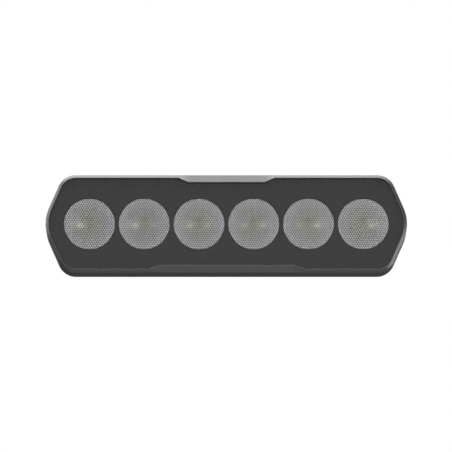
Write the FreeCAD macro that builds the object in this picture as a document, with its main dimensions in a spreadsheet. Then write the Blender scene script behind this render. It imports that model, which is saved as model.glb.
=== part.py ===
"""LED light bar: a six-lamp driving light on a tilting U bracket, in millimetres.

The lamp faces -Y, its length runs along X and +Z is up. The origin is the centre of the
bracket's bolt pattern on its mounting face. Everything lies in front of that face, and a
piece's "reach" is its distance in front of it, so y = -reach.
"""
import FreeCAD, Part
import math
import os
import re

import Sketcher

V = FreeCAD.Vector
doc = FreeCAD.newDocument("light_bar")

# ---------------------------------------------------------------- driving dimensions

SIZES = [
    # housing outline, seen from the front
    ("half_height", 38.1, "half the housing's height"),
    ("half_length", 143.5, "middle to the end's tip, before the tip is rounded"),
    ("end_angle", 23.8, "lean of the two sloping end faces from upright, degrees"),
    ("corner_radius", 14.4, "round between top or bottom and a sloping end face"),
    ("tip_radius", 31.0, "round where the two sloping end faces meet"),
    # front rim
    ("rim_inset", 2.6, "rim's width seen from the front"),
    ("rim_land", 0.4, "flat on the rim beside the cover"),
    ("bevel_depth", 2.8, "depth of the rim's bevel"),
    ("top_notch_floor", 59.4, "length of the top notch at its floor"),
    ("top_notch_mouth", 75.0, "length of the top notch at its mouth"),
    ("top_notch_depth", 3.35, "depth of the top notch"),
    ("low_notch_floor", 105.2, "length of the bottom notch at its floor"),
    ("low_notch_mouth", 122.5, "length of the bottom notch at its mouth"),
    ("low_notch_depth", 3.0, "depth of the bottom notch"),
    # depths, front to back
    ("hinge_reach", 26.0, "mounting face to hinge axis"),
    ("hinge_room", 13.5, "hinge axis to the fins' tips"),
    ("housing_depth", 58.0, "fins' tips to the front of the rim"),
    ("fin_depth", 22.0, "height of the fins off the housing's back wall"),
    ("wall_thickness", 5.0, "housing's back wall"),
    ("cover_thickness", 3.0, "clear front cover"),
    ("cover_edge", 0.25, "chamfer round the cover's face"),
    ("cover_gap", 0.1, "air between the cover and the mask"),
    ("mask_thickness", 1.5, "black lens mask"),
    ("seal_thickness", 0.8, "silicone seals"),
    ("cavity_inset", 8.6, "outline to the lamp cavity's wall"),
    ("fit_gap", 0.15, "gap round a part that drops into a pocket"),
    # fins and driver box on the back
    ("fin_thickness", 2.2, "one fin"),
    ("fin_pitch", 8.9, "fin to fin"),
    ("fin_inset", 1.5, "top of the housing to the top of a fin"),
    ("fin_round", 14.0, "round on a fin's outer corners"),
    ("plug_room", 20.0, "half the width left free of fins round the plug"),
    ("box_half_length", 38.0, "driver box, half its length"),
    ("box_half_height", 20.0, "driver box, half its height"),
    ("box_round", 4.0, "driver box, outer corners"),
    ("bay_half_length", 33.0, "driver bay, half its length"),
    ("bay_half_height", 15.0, "driver bay, half its height"),
    ("bay_round", 8.0, "driver bay, corners"),
    ("bay_floor", 0.5, "driver bay's floor behind the back wall's face"),
    ("rear_cover_thickness", 2.5, "plate that closes the driver box"),
    ("rear_screw_inset", 4.6, "driver box's edge to a rear cover screw"),
    ("rear_screw_length", 12.0, "rear cover screw's shank"),
    ("standoff_height", 4.0, "driver board's standoffs"),
    ("standoff_radius", 3.0, "one standoff"),
    ("standoff_x", 24.0, "middle to a standoff along the length"),
    ("standoff_z", 7.5, "middle to a standoff in height"),
    ("driver_end_gap", 3.0, "driver board's ends to the bay's wall"),
    ("driver_side_gap", 3.5, "driver board's sides to the bay's wall"),
    ("rear_seal_inset", 0.5, "driver box's edge to the rear cover's seal"),
    ("vent_x", 20.0, "middle to the breather vent"),
    ("vent_radius", 5.0, "breather vent's cap"),
    ("vent_height", 2.5, "breather vent's cap above the rear cover"),
    ("vent_stem", 3.0, "breather vent's press-in stem"),
    ("lead_height", 9.0, "height of the hole for the LED leads"),
    ("lead_hole", 4.0, "hole for the LED leads through the back wall"),
    ("lead_slot", 3.0, "hole for the LED leads through the LED board"),
    ("lead_radius", 0.9, "one insulated lead"),
    ("lead_x", 1.1, "middle to a lead"),
    ("lead_bend", 2.1, "bend of a lead over the LED board's hole"),
    ("grommet_bore", 2.5, "lead grommet's bore"),
    ("grommet_lip", 1.2, "lead grommet's collar beyond the hole"),
    # lamps
    ("lamp_pitch", 42.6, "lamp to lamp"),
    ("optic_radius", 20.0, "front radius of an optic"),
    ("optic_gap", 0.2, "gap between an optic and the mask"),
    ("optic_flange", 1.6, "optic's flange, both its thickness and its width"),
    ("optic_waist_inset", 5.0, "optic's edge to the waist of its bowl"),
    ("optic_waist_depth", 14.0, "optic's front to the waist of its bowl"),
    ("optic_foot", 6.5, "radius of an optic's foot"),
    ("optic_standoff", 2.2, "LED board to an optic's foot"),
    ("led_recess", 4.2, "recess for the LED in an optic's foot"),
    ("led_recess_depth", 6.4, "depth of that recess at its edge"),
    ("led_recess_crown", 0.6, "how much deeper its middle is"),
    ("bowl_round", 30.0, "curve of the optics' and the holders' bowls"),
    ("holder_lip", 1.5, "straight lip at a holder's mouth"),
    ("holder_wall", 1.3, "holder's wall"),
    ("holder_waist_inset", 3.2, "holder's edge to the waist of its bowl"),
    ("holder_waist_depth", 12.6, "holder's mouth to the waist of its bowl"),
    ("holder_foot", 11.0, "radius of a holder's foot"),
    ("holder_bore", 7.5, "bore of a holder's foot"),
    ("led_half_base", 2.5, "half the side of an LED's square base"),
    ("led_base_height", 0.9, "height of that base"),
    ("led_dome", 2.2, "radius of an LED's lens"),
    ("led_height", 3.0, "LED board to the top of an LED's lens"),
    ("led_round", 0.3, "an LED's base corners, and the flat on top of its lens"),
    ("board_half_length", 124.0, "LED board, half its length"),
    ("board_half_height", 19.0, "LED board, half its height"),
    ("board_thickness", 1.6, "circuit boards"),
    ("board_round", 4.0, "corners of the boards and the thermal pad"),
    ("pad_thickness", 0.4, "thermal pad"),
    ("pad_margin", 1.0, "LED board's edge to the thermal pad's"),
    ("board_screw_z", 14.0, "middle to an LED board screw in height"),
    ("optic_setback", 0.3, "optics' fronts behind the cover"),
    # M3 screws
    ("screw_radius", 1.45, "M3 screw's shank"),
    ("screw_hole", 1.5, "tapped hole for an M3 screw"),
    ("screw_head", 2.8, "radius of an M3 screw's head"),
    ("head_height", 2.0, "height of an M3 screw's head"),
    ("socket_flats", 2.0, "hexagon socket in an M3 screw's head, across its flats"),
    ("socket_depth", 1.2, "depth of that socket"),
    ("screw_play", 0.2, "clearance hole for an M3 screw beyond its tapped hole"),
    ("board_screw_length", 6.0, "LED board screw's shank"),
    ("driver_screw_length", 7.0, "driver board screw's shank"),
    # tilt joint and bracket
    ("lug_inner", 45.0, "middle to the inner face of a lug"),
    ("lug_thickness", 10.0, "one lug"),
    ("lug_round", 8.8, "half the height of a lug's end"),
    ("lug_overhang", 9.0, "hinge axis to the rear end of a lug"),
    ("lug_corner", 8.0, "round on a lug's end"),
    ("lug_flare", 4.0, "how far a lug spreads up and down at its root"),
    ("bolt_radius", 4.0, "M8 pivot bolt"),
    ("ear_hole", 4.1, "bolt hole in a bracket ear"),
    ("ear_gap", 0.1, "side clearance on each face of an ear"),
    ("nylon_thickness", 1.0, "nylon friction washer"),
    ("nylon_radius", 8.5, "nylon friction washer"),
    ("flat_thickness", 1.6, "flat washer"),
    ("flat_radius", 8.0, "flat washer"),
    ("lock_thickness", 2.0, "lock washer"),
    ("lock_radius", 7.0, "lock washer"),
    ("lock_split", 1.0, "gap where a lock washer is split"),
    ("bolt_head_height", 5.3, "hexagon head of the pivot bolt"),
    ("bolt_head_flats", 13.0, "that head across its flats"),
    ("steel_thickness", 3.0, "bracket's plate"),
    ("bracket_half_height", 22.0, "half the bracket's height"),
    ("ear_root", 10.0, "mounting face to where an ear starts to taper"),
    ("ear_round", 11.0, "half the height of an ear's end"),
    ("ear_corner", 10.4, "round on an ear's end"),
    ("ear_neck", 4.0, "hinge axis back to where an ear's taper ends"),
    ("ear_neck_round", 6.0, "round where an ear's taper ends"),
    ("bend_radius", 2.0, "inner radius of the bracket's bends"),
    ("slot_radius", 4.2, "half the width of a mounting slot"),
    ("slot_length", 16.0, "mounting slot, end to end"),
    ("slot_spacing", 60.0, "mounting slot to mounting slot"),
    # power inlet under the driver box
    ("inlet_reach", 50.5, "mounting face to the inlet's axis"),
    ("inlet_radius", 8.0, "inlet's shell"),
    ("inlet_bore", 6.2, "socket inside the shell"),
    ("inlet_neck", 5.5, "threaded neck through the box's wall"),
    ("inlet_neck_top", 2.9, "inside of the box's wall to the top of the neck"),
    ("inlet_length", 10.0, "shell below its flange"),
    ("inlet_flange", 2.0, "flange beyond the shell"),
    ("inlet_flange_height", 2.2, "flange's thickness"),
    ("inlet_floor", 3.0, "top of the flange to the socket's floor"),
    ("inlet_seal_lip", 1.5, "inlet's seal beyond the shell"),
    ("pin_radius", 0.9, "contact pin"),
    ("pin_x", 2.5, "inlet's axis to a contact pin"),
    ("pin_length", 20.0, "contact pin"),
    ("pin_rise", 7.0, "inside of the box's wall to the top of a pin"),
    ("nut_height", 2.4, "inlet's nut"),
    ("nut_radius", 8.4, "inlet's nut"),
]

sheet = doc.addObject("Spreadsheet::Sheet", "Sizes")
for row, (alias, size, meaning) in enumerate(SIZES, start=1):
    sheet.set(f"A{row}", meaning)
    sheet.set(f"B{row}", str(size))
    sheet.setAlias(f"B{row}", alias)
doc.recompute()

ALIASES = re.compile(r"\b(" + "|".join(alias for alias, _, _ in SIZES) + r")\b")


def cells(text):
    """Turn a formula in plain size names into an expression on the sheet's cells."""
    return ALIASES.sub(r"Sizes.\1", str(text))


def number(text):
    """The value of such a formula."""
    return float(sheet.evalExpression(str(text)))


def bind(feature, **formulas):
    """Bind each named property of a feature to a formula."""
    for name, text in formulas.items():
        feature.setExpression(name.replace("__", "."), cells(text))


# Reaches of the faces that the stack of parts shares, from the back to the front.
FIN_TIPS = "(hinge_reach + hinge_room)"
WALL_BACK = f"({FIN_TIPS} + fin_depth)"
WALL_FRONT = f"({WALL_BACK} + wall_thickness)"
BOARD_BACK = f"({WALL_FRONT} + pad_thickness)"
BOARD_FRONT = f"({BOARD_BACK} + board_thickness)"
RIM_FRONT = f"({FIN_TIPS} + housing_depth)"
BEVEL_BACK = f"({RIM_FRONT} - bevel_depth)"
COVER_BACK = f"({RIM_FRONT} - cover_thickness)"
MASK_FRONT = f"({COVER_BACK} - cover_gap)"
MASK_BACK = f"({MASK_FRONT} - mask_thickness)"
LEDGE = f"({MASK_BACK} - seal_thickness)"
OPTIC_FRONT = f"({COVER_BACK} - optic_setback)"
REAR_COVER_FRONT = f"({FIN_TIPS} - seal_thickness)"
REAR_COVER_BACK = f"({REAR_COVER_FRONT} - rear_cover_thickness)"
BAY_FRONT = f"({WALL_BACK} - bay_floor)"
DRIVER_BOARD_FRONT = f"({BAY_FRONT} - standoff_height)"
DRIVER_BOARD_BACK = f"({DRIVER_BOARD_FRONT} - board_thickness)"
LUG_FACE = "(lug_inner + lug_thickness)"
EAR_INNER = f"({LUG_FACE} + nylon_thickness + ear_gap)"
EAR_OUTER = f"({EAR_INNER} + steel_thickness)"

# How far a cut or a fused piece runs past the face that it starts from, and the gap of a running fit.
PAST = "1"
RUNNING_FIT = "0.1"

LAMP_NUMBERS = range(1, 7)
FIN_COUNT = 26


# ---------------------------------------------------------------- sketches

def origin_feature(body, role):
    """A body's own origin plane or axis."""
    return next(f for f in body.Origin.OriginFeatures if f.Role == role)


def new_sketch(body, name, role, offset="0"):
    """An empty sketch on one of the body's origin planes, moved along its normal."""
    sketch = body.newObject("Sketcher::SketchObject", name)
    sketch.AttachmentSupport = [(origin_feature(body, role), "")]
    sketch.MapMode = "FlatFace"
    sketch.setExpression("AttachmentOffset.Base.z", cells(offset))
    return sketch


def place_point(sketch, geometry, point, x, y):
    """Hold one point of the sketch at two formulas."""
    first = sketch.addConstraint([
        Sketcher.Constraint("DistanceX", -1, 1, geometry, point, number(x)),
        Sketcher.Constraint("DistanceY", -1, 1, geometry, point, number(y)),
    ])[0]
    sketch.setExpression(f"Constraints[{first}]", cells(x))
    sketch.setExpression(f"Constraints[{first + 1}]", cells(y))


def draw_circle(sketch, x, y, radius):
    """A circle whose centre and radius follow formulas."""
    circle = Part.Circle(V(number(x), number(y), 0), V(0, 0, 1), number(radius))
    index = sketch.addGeometry(circle, False)
    place_point(sketch, index, 3, x, y)
    constraint = sketch.addConstraint(Sketcher.Constraint("Radius", index, number(radius)))
    sketch.setExpression(f"Constraints[{constraint}]", cells(radius))


def corner_arc(before, corner, after, radius):
    """The arc that rounds a corner, and whether it turns anticlockwise."""
    to_before = (before - corner).normalize()
    to_after = (after - corner).normalize()
    half_angle = to_before.getAngle(to_after) / 2
    centre = corner + (to_before + to_after).normalize() * (radius / math.sin(half_angle))
    tangent_length = radius / math.tan(half_angle)
    start = corner + to_before * tangent_length - centre
    end = corner + to_after * tangent_length - centre
    left_turn = start.cross(end).z > 0
    first, last = (start, end) if left_turn else (end, start)
    begin_angle = math.atan2(first.y, first.x)
    sweep = first.getAngle(last)
    circle = Part.Circle(centre, V(0, 0, 1), radius)
    return Part.ArcOfCircle(circle, begin_angle, begin_angle + sweep), left_turn


def draw_outline(sketch, corners):
    """A closed outline through corners given as (x, y) or (x, y, radius) formulas."""
    points = [V(number(corner[0]), number(corner[1]), 0) for corner in corners]
    count = len(corners)
    arcs = {}
    ends = [[points[i], points[(i + 1) % count]] for i in range(count)]
    for i, corner in enumerate(corners):
        if len(corner) == 3:
            arc, left_turn = corner_arc(points[i - 1], points[i], points[(i + 1) % count], number(corner[2]))
            arcs[i] = (arc, left_turn)
            meets = (arc.StartPoint, arc.EndPoint) if left_turn else (arc.EndPoint, arc.StartPoint)
            ends[i - 1][1] = meets[0]
            ends[i][0] = meets[1]
    lines = sketch.addGeometry([Part.LineSegment(start, end) for start, end in ends], False)
    for i, corner in enumerate(corners):
        line_in = lines[i - 1]
        line_out = lines[i]
        if i not in arcs:
            sketch.addConstraint(Sketcher.Constraint("Coincident", line_in, 2, line_out, 1))
            place_point(sketch, line_out, 1, corner[0], corner[1])
            continue
        arc, left_turn = arcs[i]
        arc_index = sketch.addGeometry(arc, False)
        corner_index = sketch.addGeometry(Part.Point(points[i]), True)
        arc_start, arc_end = (1, 2) if left_turn else (2, 1)
        radius_index = sketch.addConstraint([
            Sketcher.Constraint("Tangent", line_in, 2, arc_index, arc_start),
            Sketcher.Constraint("Tangent", arc_index, arc_end, line_out, 1),
            Sketcher.Constraint("PointOnObject", corner_index, 1, line_in),
            Sketcher.Constraint("PointOnObject", corner_index, 1, line_out),
            Sketcher.Constraint("Radius", arc_index, number(corner[2])),
        ])[-1]
        sketch.setExpression(f"Constraints[{radius_index}]", cells(corner[2]))
        place_point(sketch, corner_index, 1, corner[0], corner[1])


def rectangle(half_x, half_y, radius):
    """The corners of a rounded rectangle about the sketch's origin."""
    return [
        (f"{half_x}", f"{half_y}", radius),
        (f"-({half_x})", f"{half_y}", radius),
        (f"-({half_x})", f"-({half_y})", radius),
        (f"{half_x}", f"-({half_y})", radius),
    ]


def lamp_outline(inset="0", notch_share=None):
    """The lamp's outline moved inwards by an inset, anticlockwise from the right tip.

    notch_share None leaves the notches out, "1" cuts them to their depth and "0" only
    marks where they start and end, so that two outlines can be joined edge by edge.
    """
    top = f"(half_height - ({inset}))"
    tip = f"(half_length - ({inset}) / cos(end_angle))"
    flat = f"({tip} - {top} * tan(end_angle))"
    corner_round = f"corner_radius - ({inset})"
    tip_round = f"tip_radius - ({inset})"
    top_notch = []
    low_notch = []
    if notch_share is not None:
        top_notch = [
            ("top_notch_mouth / 2", top),
            ("top_notch_floor / 2", f"{top} - top_notch_depth * {notch_share}"),
            ("-top_notch_floor / 2", f"{top} - top_notch_depth * {notch_share}"),
            ("-top_notch_mouth / 2", top),
        ]
        low_notch = [
            ("-low_notch_mouth / 2", f"-{top}"),
            ("-low_notch_floor / 2", f"-{top} + low_notch_depth * {notch_share}"),
            ("low_notch_floor / 2", f"-{top} + low_notch_depth * {notch_share}"),
            ("low_notch_mouth / 2", f"-{top}"),
        ]
    return [
        (tip, "0", tip_round),
        (flat, top, corner_round),
        *top_notch,
        (f"-{flat}", top, corner_round),
        (f"-{tip}", "0", tip_round),
        (f"-{flat}", f"-{top}", corner_round),
        *low_notch,
        (flat, f"-{top}", corner_round),
    ]


# ---------------------------------------------------------------- features

def new_body(label):
    """A body that becomes one node."""
    body = doc.addObject("PartDesign::Body", label)
    body.Label = label
    return body


def pad(body, sketch, length, name, backwards=False):
    """Grow the body from a sketch."""
    feature = body.newObject("PartDesign::Pad", name)
    feature.Profile = sketch
    feature.Reversed = backwards
    bind(feature, Length=length)
    doc.recompute()
    return feature


def pocket(body, sketch, length, name, along_normal=False):
    """Cut the body from a sketch, and make sure that the cut removed something."""
    before = body.Shape.Volume
    feature = body.newObject("PartDesign::Pocket", name)
    feature.Profile = sketch
    feature.Reversed = along_normal
    bind(feature, Length=length)
    doc.recompute()
    if not body.Shape.Volume < before:
        raise RuntimeError(f"{name} cut nothing")
    return feature


def revolve(body, sketch, axis, name):
    """Turn a profile a full turn about one of the sketch's axes."""
    feature = body.newObject("PartDesign::Revolution", name)
    feature.Profile = sketch
    feature.ReferenceAxis = (sketch, [axis])
    feature.Angle = 360
    doc.recompute()
    return feature


def front_slab(body, name, outlines, back, front, circles=()):
    """Pad outlines in the front plane, with round holes, from one reach to another."""
    sketch = new_sketch(body, f"{name}_outline", "XZ_Plane", back)
    for corners in outlines:
        draw_outline(sketch, corners)
    for circle in circles:
        draw_circle(sketch, *circle)
    return pad(body, sketch, f"{front} - ({back})", name)


def front_pocket(body, name, corners, back, front, circles=()):
    """Cut an outline or round holes out of a body from one reach to another."""
    sketch = new_sketch(body, f"{name}_outline", "XZ_Plane", front)
    if corners:
        draw_outline(sketch, corners)
    for circle in circles:
        draw_circle(sketch, *circle)
    return pocket(body, sketch, f"{front} - ({back})", name)


def cylinder(label, radius, length, x="0", reach="0", z="0", axis="forward"):
    """A round bar from a point, running forward (-Y), down (-Z) or to the right (+X)."""
    bar = doc.addObject("Part::Cylinder", label)
    bar.Label = label
    bind(bar, Radius=radius, Height=length)
    turn = {
        "forward": FreeCAD.Rotation(V(1, 0, 0), 90),
        "down": FreeCAD.Rotation(V(1, 0, 0), 180),
        "right": FreeCAD.Rotation(V(0, 1, 0), 90),
    }[axis]
    bar.Placement = FreeCAD.Placement(V(), turn)
    bind(bar, Placement__Base__x=x, Placement__Base__y=f"-({reach})", Placement__Base__z=z)
    return bar


def socket(label, flats, length, x, reach, z):
    """A hexagonal bar from a point forwards, to cut a screw's socket with."""
    bar = doc.addObject("Part::Prism", label)
    bar.Label = label
    bar.Polygon = 6
    bar.Placement = FreeCAD.Placement(V(), FreeCAD.Rotation(V(1, 0, 0), 90))
    bind(bar, Circumradius=f"{flats} / sqrt(3)", Height=length)
    bind(bar, Placement__Base__x=x, Placement__Base__y=f"-({reach})", Placement__Base__z=z)
    return bar


def half_turn(label, radius, bend, x, reach, z):
    """A round bar bent by a half turn: forwards from a point, over and back at 2 * bend above it."""
    ring = doc.addObject("Part::Torus", label)
    ring.Label = label
    bind(ring, Radius1=bend, Radius2=radius)
    ring.Angle3 = 180
    ring.Placement = FreeCAD.Placement(V(), FreeCAD.Rotation(V(0, 0, 1), V(0, -1, 0), V(1, 0, 0)))
    bind(
        ring,
        Placement__Base__x=x,
        Placement__Base__y=f"-({reach})",
        Placement__Base__z=f"{z} + {bend}",
    )
    return ring


def block(label, size, x, reach, z):
    """A box centred on x and z, from a reach forwards; size is length, depth, height."""
    box = doc.addObject("Part::Box", label)
    box.Label = label
    length, depth, height = size
    bind(box, Length=length, Width=depth, Height=height)
    bind(
        box,
        Placement__Base__x=f"{x} - ({length}) / 2",
        Placement__Base__y=f"-({reach}) - ({depth})",
        Placement__Base__z=f"{z} - ({height}) / 2",
    )
    return box


def join(label, pieces):
    """Fuse pieces into one solid."""
    fusion = doc.addObject("Part::MultiFuse", label)
    fusion.Label = label
    fusion.Shapes = pieces
    return fusion


def subtract(label, base, tool):
    """Cut one piece out of another."""
    cut = doc.addObject("Part::Cut", label)
    cut.Label = label
    cut.Base = base
    cut.Tool = tool
    return cut


def group(label, pieces):
    """Keep identical pieces together in one node, as separate solids."""
    compound = doc.addObject("Part::Compound", label)
    compound.Label = label
    compound.Links = pieces
    return compound


def screws(label, places, seat, shank):
    """M3 screws with a hexagon socket under a seat's reach; their heads point backwards or forwards.

    A positive shank enters forwards from the seat, a negative one backwards.
    """
    forward = number(shank) > 0
    head_start = f"{seat} - head_height" if forward else seat
    shank_start = seat if forward else f"{seat} + ({shank})"
    socket_start = f"{head_start} - {PAST}" if forward else f"{seat} + head_height - socket_depth"
    socket_length = f"socket_depth + {PAST}"
    solids = []
    for index, (x, z) in enumerate(places, start=1):
        head = cylinder(f"{label}_head_{index}", "screw_head", "head_height", x, head_start, z)
        stem = cylinder(f"{label}_stem_{index}", "screw_radius", f"abs({shank})", x, shank_start, z)
        blank = join(f"{label}_blank_{index}", [head, stem])
        recess = socket(f"{label}_socket_{index}", "socket_flats", socket_length, x, socket_start, z)
        solids.append(subtract(f"{label}_{index}", blank, recess))
    return group(label, solids)


def four_corners(half_x, half_z):
    """Four places, one in each quarter."""
    return [(f"{x} * ({half_x})", f"{z} * ({half_z})") for x in (-1, 1) for z in (-1, 1)]


def lamp_x(number_in_row):
    """The middle of a lamp, numbered from the left end."""
    return f"lamp_pitch * {number_in_row - 3.5}"


LED_BOARD_SCREWS = [
    (f"lamp_pitch * {step}", f"{side} * board_screw_z")
    for step in (-2, -1, 1, 2)
    for side in (-1, 1)
]
REAR_COVER_SCREWS = four_corners("box_half_length - rear_screw_inset", "box_half_height - rear_screw_inset")
DRIVER_BOARD_SCREWS = four_corners("standoff_x", "standoff_z")


# ---------------------------------------------------------------- housing

def make_housing():
    """Cast housing: tub with a bevelled rim, fins, driver box and two hinge lugs."""
    body = new_body("housing")
    front_slab(body, "housing_tub", [lamp_outline("0", "0")], WALL_BACK, BEVEL_BACK)

    rim = new_sketch(body, "rim_front", "XZ_Plane", RIM_FRONT)
    draw_outline(rim, lamp_outline("rim_inset - rim_land", "1"))
    shoulder = new_sketch(body, "rim_shoulder", "XZ_Plane", BEVEL_BACK)
    draw_outline(shoulder, lamp_outline("0", "0"))
    bevel = body.newObject("PartDesign::AdditiveLoft", "rim_bevel")
    bevel.Profile = shoulder
    bevel.Sections = [rim]
    bevel.Ruled = True
    doc.recompute()

    add_fins(body)
    front_slab(
        body,
        "driver_box",
        [rectangle("box_half_length", "box_half_height", "box_round")],
        FIN_TIPS,
        WALL_BACK,
    )
    add_lugs(body)

    plug_space = [
        ("-plug_room", "-box_half_height"),
        ("plug_room", "-box_half_height"),
        ("plug_room", f"-half_height - {PAST}"),
        ("-plug_room", f"-half_height - {PAST}"),
    ]
    front_pocket(body, "plug_space", plug_space, f"{FIN_TIPS} - {PAST}", WALL_BACK)
    driver_bay = rectangle("bay_half_length", "bay_half_height", "bay_round")
    front_pocket(body, "driver_bay", driver_bay, f"{FIN_TIPS} - {PAST}", BAY_FRONT)
    front_pocket(body, "cover_seat", lamp_outline("rim_inset", "1"), LEDGE, RIM_FRONT)
    front_pocket(body, "lamp_cavity", lamp_outline("cavity_inset"), WALL_FRONT, LEDGE)

    standoffs = [(x, z, "standoff_radius") for x, z in DRIVER_BOARD_SCREWS]
    front_slab(body, "standoffs", [], DRIVER_BOARD_FRONT, f"{WALL_BACK} + {PAST}", standoffs)
    add_housing_holes(body)
    return body


def add_fins(body):
    """Upright cooling fins along the whole back."""
    row_length = f"(fin_pitch * {FIN_COUNT - 1})"
    fin = new_sketch(body, "fin_outline", "YZ_Plane", f"-{row_length} / 2 - fin_thickness / 2")
    top = "(half_height - fin_inset)"
    draw_outline(fin, [
        (f"-{FIN_TIPS}", f"-{top}", "fin_round"),
        (f"-{FIN_TIPS}", top, "fin_round"),
        (f"-{WALL_BACK} - {PAST}", top),
        (f"-{WALL_BACK} - {PAST}", f"-{top}"),
    ])
    first = pad(body, fin, "fin_thickness", "fin")
    row_of_fins = body.newObject("PartDesign::LinearPattern", "fins")
    row_of_fins.Originals = [first]
    row_of_fins.Direction = (origin_feature(body, "X_Axis"), [""])
    row_of_fins.Occurrences = FIN_COUNT
    bind(row_of_fins, Length=row_length)
    body.Tip = row_of_fins
    doc.recompute()


def add_lugs(body):
    """Two lugs that reach back to the hinge axis."""
    rear = "-hinge_reach + lug_overhang"
    root = f"-{WALL_BACK} - {PAST}"
    for side, start in (("left", f"-{LUG_FACE}"), ("right", "lug_inner")):
        lug = new_sketch(body, f"{side}_lug_outline", "YZ_Plane", start)
        draw_outline(lug, [
            (rear, "-lug_round", "lug_corner"),
            (rear, "lug_round", "lug_corner"),
            (root, "lug_round + lug_flare"),
            (root, "-lug_round - lug_flare"),
        ])
        pad(body, lug, "lug_thickness", f"{side}_lug")


def add_housing_holes(body):
    """Every drilled or tapped hole of the housing."""
    pivots = new_sketch(body, "pivot_circle", "YZ_Plane", LUG_FACE)
    draw_circle(pivots, "-hinge_reach", "0", f"bolt_radius + {RUNNING_FIT} / 2")
    pocket(body, pivots, f"2 * {LUG_FACE}", "pivot_holes")
    board_holes = [(x, z, "screw_hole") for x, z in LED_BOARD_SCREWS]
    board_hole_end = f"{BOARD_FRONT} - board_screw_length - fit_gap"
    front_pocket(body, "led_board_holes", None, board_hole_end, WALL_FRONT, board_holes)
    lead_circle = [("0", "lead_height", "lead_hole")]
    front_pocket(body, "lead_hole_cut", None, f"{WALL_BACK} - {PAST}", WALL_FRONT, lead_circle)

    rear_holes = new_sketch(body, "rear_cover_circles", "XZ_Plane", FIN_TIPS)
    for x, z in REAR_COVER_SCREWS:
        draw_circle(rear_holes, x, z, "screw_hole")
    rear_depth = "rear_screw_length - rear_cover_thickness + fit_gap"
    pocket(body, rear_holes, rear_depth, "rear_cover_holes", along_normal=True)
    driver_holes = new_sketch(body, "driver_board_circles", "XZ_Plane", DRIVER_BOARD_FRONT)
    for x, z in DRIVER_BOARD_SCREWS:
        draw_circle(driver_holes, x, z, "screw_hole")
    driver_depth = "driver_screw_length - board_thickness + fit_gap"
    pocket(body, driver_holes, driver_depth, "driver_board_holes", along_normal=True)

    inlet_hole = new_sketch(body, "inlet_circle", "XY_Plane", f"-bay_half_height + {PAST}")
    draw_circle(inlet_hole, "0", "-inlet_reach", f"inlet_neck + {RUNNING_FIT}")
    pocket(body, inlet_hole, f"box_half_height - bay_half_height + 2 * {PAST}", "inlet_hole")


# ---------------------------------------------------------------- front of the lamp

def make_front_cover():
    """Clear hard-coated cover that fills the rim."""
    body = new_body("front_cover")
    outline = lamp_outline("rim_inset + fit_gap", "1")
    slab = front_slab(body, "cover_plate", [outline], COVER_BACK, RIM_FRONT)
    front_face = max(
        range(len(slab.Shape.Faces)),
        key=lambda index: -slab.Shape.Faces[index].CenterOfMass.y,
    )
    edge = body.newObject("PartDesign::Chamfer", "cover_edge_break")
    edge.Base = (slab, [f"Face{front_face + 1}"])
    bind(edge, Size="cover_edge")
    doc.recompute()
    return body


def make_lens_mask():
    """Black plate behind the cover with a round window for each optic."""
    body = new_body("lens_mask")
    windows = [(lamp_x(lamp), "0", "optic_radius + optic_gap") for lamp in LAMP_NUMBERS]
    outline = lamp_outline("rim_inset + fit_gap", "1")
    front_slab(body, "mask_plate", [outline], MASK_BACK, MASK_FRONT, windows)
    return body


def make_cover_seal():
    """Silicone ring between the mask and the housing's ledge."""
    body = new_body("cover_seal")
    outlines = [lamp_outline("rim_inset + fit_gap", "1"), lamp_outline("cavity_inset - 2 * fit_gap")]
    front_slab(body, "cover_seal_ring", outlines, LEDGE, MASK_BACK)
    return body


def make_optic(lamp):
    """Clear collimating optic: a round front on a bowl-shaped body with an LED recess."""
    body = new_body(f"optic_{lamp}")
    profile = new_sketch(body, f"optic_{lamp}_profile", "XY_Plane")
    flange_back = f"-{OPTIC_FRONT} + optic_flange"
    foot = f"-{BOARD_FRONT} - optic_standoff"
    draw_outline(profile, [
        ("0", f"-{OPTIC_FRONT}"),
        ("optic_radius", f"-{OPTIC_FRONT}"),
        ("optic_radius", flange_back),
        ("optic_radius - optic_flange", flange_back),
        ("optic_radius - optic_waist_inset", f"-{OPTIC_FRONT} + optic_waist_depth", "bowl_round"),
        ("optic_foot", foot),
        ("led_recess", foot),
        ("led_recess", f"{foot} - led_recess_depth"),
        ("0", f"{foot} - led_recess_depth - led_recess_crown"),
    ])
    revolve(body, profile, "V_Axis", f"optic_{lamp}_solid")
    bind(body, Placement__Base__x=lamp_x(lamp))
    return body


def make_optic_holder(lamp):
    """Black cup that centres an optic over its LED."""
    body = new_body(f"optic_holder_{lamp}")
    profile = new_sketch(body, f"optic_holder_{lamp}_profile", "XY_Plane")
    mouth = f"-{OPTIC_FRONT} + optic_flange + {RUNNING_FIT}"
    waist = f"{mouth} + holder_waist_depth"
    draw_outline(profile, [
        ("optic_radius", mouth),
        ("optic_radius", f"{mouth} + holder_lip"),
        ("optic_radius - holder_waist_inset", waist, "bowl_round"),
        ("holder_foot", f"-{BOARD_FRONT} - 2 * holder_lip"),
        ("holder_foot", f"-{BOARD_FRONT}"),
        ("holder_bore", f"-{BOARD_FRONT}"),
        ("holder_bore", f"-{BOARD_FRONT} - holder_lip"),
        ("optic_radius - holder_waist_inset - holder_wall", waist, "bowl_round"),
        ("optic_radius - holder_wall", mouth),
    ])
    revolve(body, profile, "V_Axis", f"optic_holder_{lamp}_solid")
    bind(body, Placement__Base__x=lamp_x(lamp))
    return body


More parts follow.
